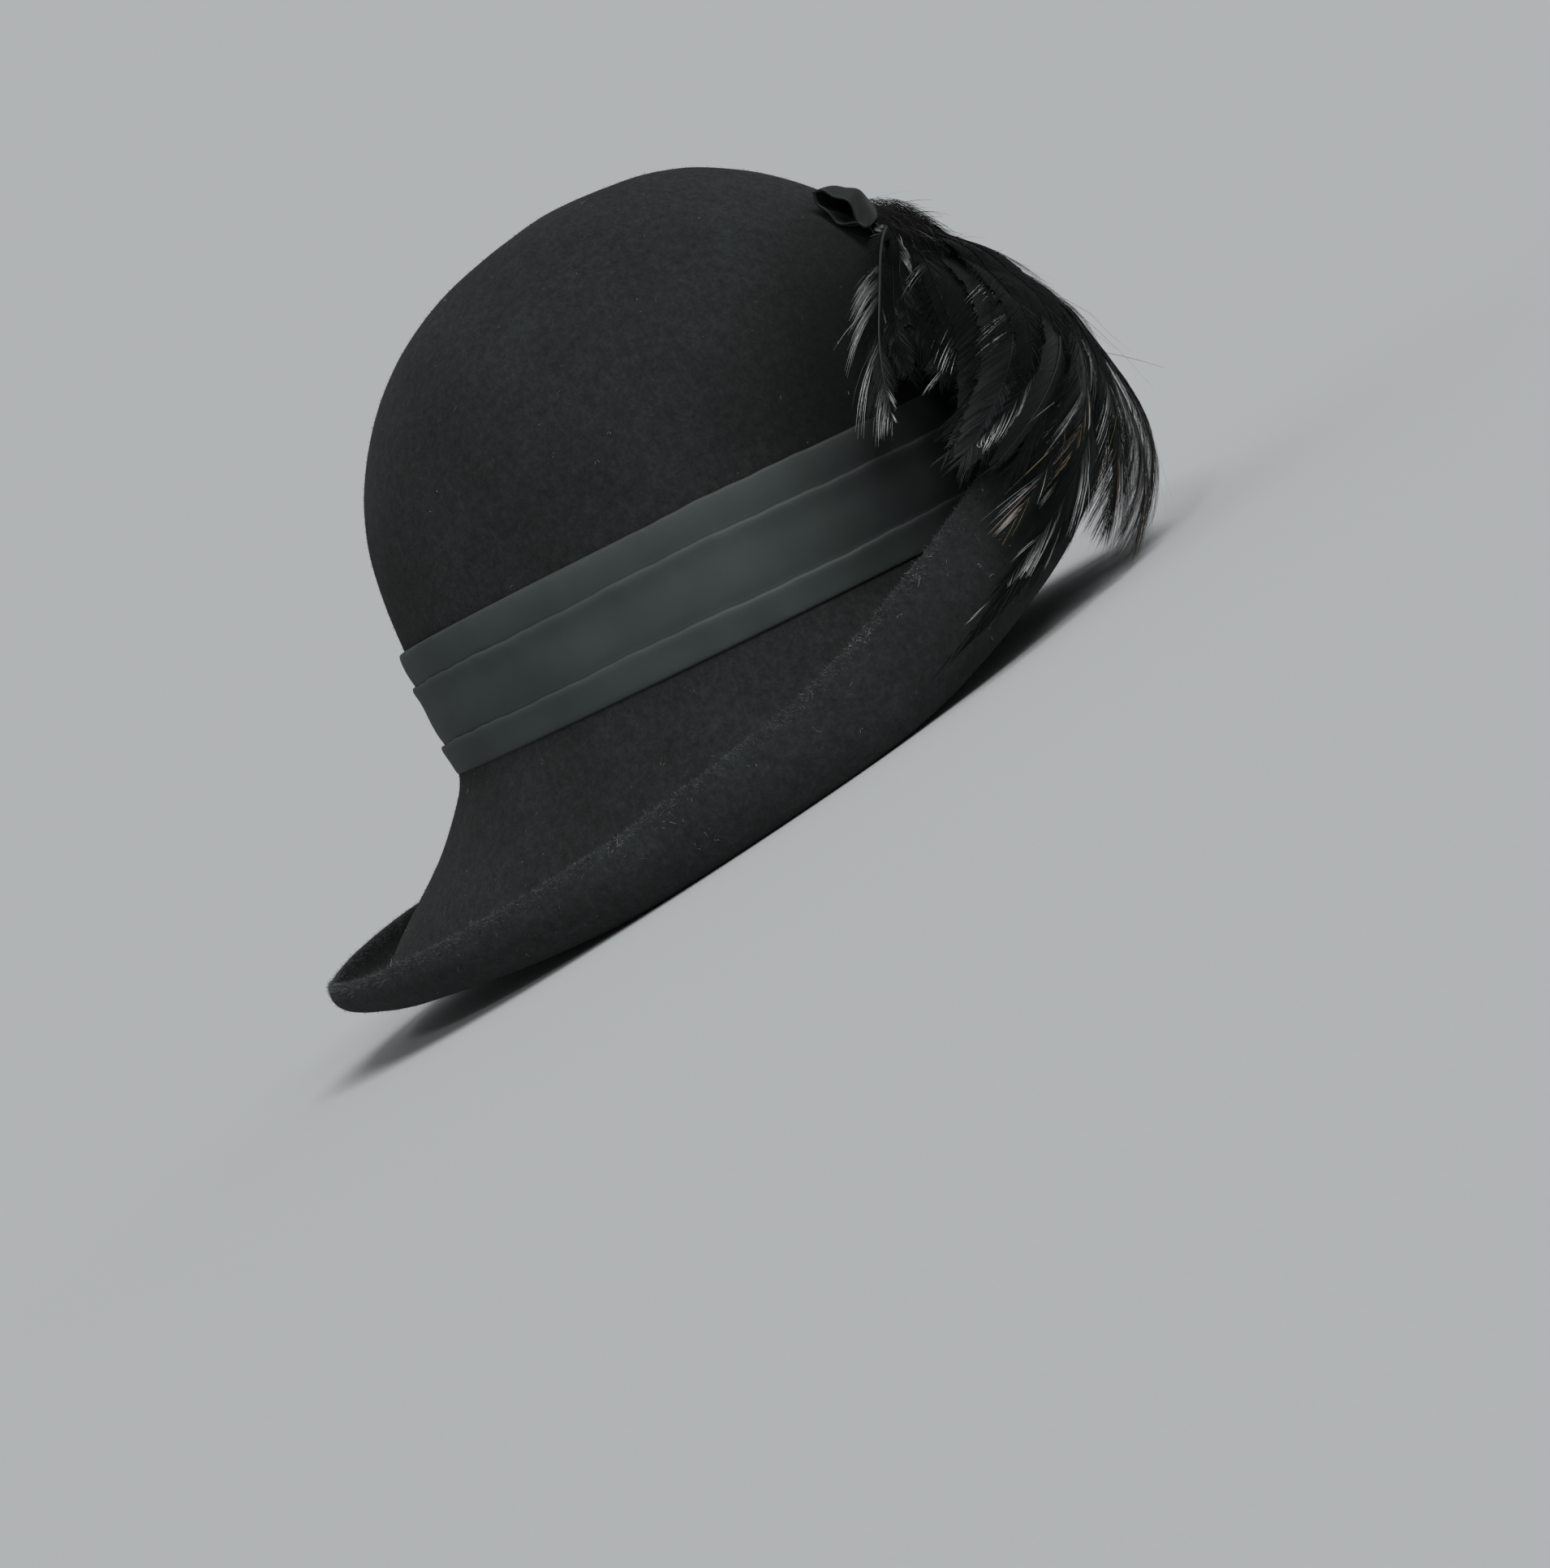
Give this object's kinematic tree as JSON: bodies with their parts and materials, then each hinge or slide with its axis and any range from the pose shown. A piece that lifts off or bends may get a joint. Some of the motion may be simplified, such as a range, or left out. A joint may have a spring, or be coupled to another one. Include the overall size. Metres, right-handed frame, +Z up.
{
  "type": "feathered felt hat",
  "caption": "Felt hat with a rounded crown, a bell flare and a brim turned up all round, with a tucked ribbon band and a feather spray.",
  "frame": {"origin": "middle of the bounding box at its bottom, on the surface the hat rests on", "axes": "+Z up, -Y toward the front of the hat, -X toward the wearer's right"},
  "size_m": [0.2418, 0.3018, 0.1803],
  "materials": {
    "felt": "matt wool felt with a short nap",
    "ribbon": "cross-ribbed ribbon, soft sheen",
    "loop_ribbon": "cross-ribbed ribbon, matt",
    "feather": "glossy black barbs"
  },
  "bodies": {
    "root": {"felt_body": "felt", "hat_band": "ribbon", "trim_loop": "loop_ribbon", "feather_spray": "feather"}
  },
  "joints": []
}
